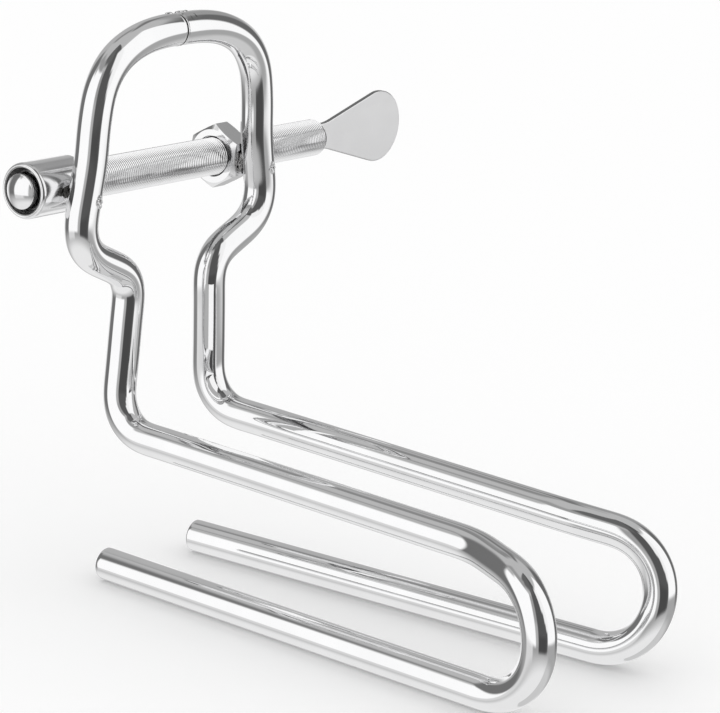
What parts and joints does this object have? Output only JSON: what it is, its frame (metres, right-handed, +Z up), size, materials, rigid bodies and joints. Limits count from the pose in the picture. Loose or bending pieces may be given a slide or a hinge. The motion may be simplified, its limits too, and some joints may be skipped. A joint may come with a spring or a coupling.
{
  "type": "ham holder stand",
  "caption": "Free-standing ham holder of two bent round bars welded into an arch, with a fine-threaded cross screw, nut, guide sleeve and wing blade.",
  "frame": {"origin": "on the table that the legs rest on, midway between the two bars and straight below the arch", "axes": "+Z up; +X from the guide sleeve to the wing blade, along the screw; +Y from the front bends to the uprights"},
  "size_m": [0.2205, 0.2279, 0.2068],
  "materials": {
    "polished_bar": "mirror-polished stainless steel round bar",
    "turned_parts": "polished turned stainless steel",
    "thread": "bright cut stainless steel thread",
    "blade": "fine satin stainless steel sheet",
    "weld": "cleaned stainless steel weld bead",
    "spring_wire": "stainless spring wire"
  },
  "bodies": {
    "frame": {"left_frame_rod": "polished_bar", "right_frame_rod": "polished_bar", "arch_weld": "weld", "guide_sleeve": "turned_parts", "sleeve_weld": "weld", "hex_nut": "turned_parts", "nut_weld": "weld", "spot_welds": "weld"},
    "nose": {"swivel_nose": "turned_parts", "nose_retaining_ring": "spring_wire"},
    "screw": {"clamp_screw": "thread", "wing_blade": "blade", "wing_weld": "weld"}
  },
  "joints": [
    {"name": "screw_travel", "type": "slide", "parent": "frame", "child": "nose", "axis": [1, 0, 0], "range_m": [-0.045, 0.1]},
    {"name": "screw_spin", "type": "hinge", "parent": "nose", "child": "screw", "pos_m": [-0.04761, 0.0165, 0.1465], "axis": [1, 0, 0], "range_deg": [-16200, 36000]}
  ],
  "couplings": [
    {"joint": "screw_spin", "follows": "screw_travel", "rad_per_m": 6283.2}
  ]
}
